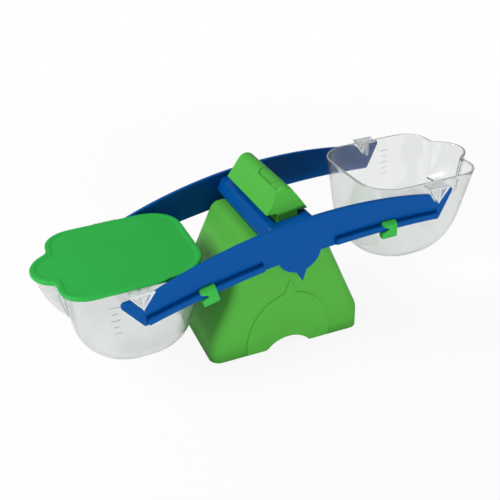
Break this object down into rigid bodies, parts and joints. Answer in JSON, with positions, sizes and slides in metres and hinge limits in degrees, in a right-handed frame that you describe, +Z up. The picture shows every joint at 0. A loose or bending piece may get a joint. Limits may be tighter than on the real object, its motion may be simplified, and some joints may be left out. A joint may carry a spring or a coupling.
{
  "type": "bucket balance",
  "caption": "Classroom bucket balance: a tilting plastic beam on an A-shaped hollow base carries clear hanging buckets for comparing the weights of objects.",
  "frame": {"origin": "on the floor under the middle of the base", "axes": "+X along the beam to the raised bucket, +Y to the rear bar, +Z up"},
  "size_m": [0.3986, 0.1313, 0.1456],
  "materials": {
    "base_green": "satin moulded",
    "cap_green": "satin moulded",
    "lid_green": "satin moulded",
    "beam_blue": "satin moulded",
    "bucket_clear": "clear, polished",
    "bearing_white": "moulded",
    "steel": "bright"
  },
  "bodies": {
    "base": {"base_shell": "base_green", "front_bearing": "bearing_white", "rear_bearing": "bearing_white"},
    "cap": {"top_cap": "cap_green"},
    "latch": {"cap_latch": "cap_green"},
    "beam": {"pivot_axle": "steel", "beam_bridge": "beam_blue", "front_bar": "beam_blue", "rear_bar": "beam_blue", "front_left_screw": "steel", "front_right_screw": "steel", "rear_left_screw": "steel", "rear_right_screw": "steel"},
    "left_bucket": {"left_bucket": "bucket_clear"},
    "right_bucket": {"right_bucket": "bucket_clear"},
    "lid": {"bucket_lid": "lid_green"},
    "left_slider": {"left_slider": "lid_green"},
    "right_slider": {"right_slider": "lid_green"}
  },
  "joints": [
    {"name": "beam_tilt", "type": "hinge", "parent": "base", "child": "beam", "pos_m": [0, 0, 0.1175], "axis": [0, 1, 0], "range_deg": [0, 16.4]},
    {"name": "left_swing", "type": "hinge", "parent": "beam", "child": "left_bucket", "pos_m": [-0.12582, 0, 0.07916], "axis": [0, 1, 0], "range_deg": [-16.6, 3.8]},
    {"name": "right_swing", "type": "hinge", "parent": "beam", "child": "right_bucket", "pos_m": [0.13152, 0, 0.11625], "axis": [0, 1, 0], "range_deg": [-16.6, 3.8]},
    {"name": "lid_lift", "type": "slide", "parent": "left_bucket", "child": "lid", "axis": [-0.0314, 0, 0.9995], "range_m": [0, 0.03]},
    {"name": "left_slide", "type": "hinge", "parent": "beam", "child": "left_slider", "pos_m": [0.11348, 0, -0.66997], "axis": [0, 1, 0], "range_deg": [-3.03, 2.8]},
    {"name": "right_slide", "type": "hinge", "parent": "beam", "child": "right_slider", "pos_m": [0.11348, 0, -0.66997], "axis": [0, 1, 0], "range_deg": [-2.99, 2.84]},
    {"name": "cap_lift", "type": "slide", "parent": "base", "child": "cap", "axis": [0, 0, 1], "range_m": [0, 0.04]},
    {"name": "latch_flex", "type": "hinge", "parent": "cap", "child": "latch", "pos_m": [0, -0.0235, 0.1445], "axis": [1, 0, 0], "range_deg": [-4, 0], "stiffness_Nm_per_rad": 2}
  ]
}
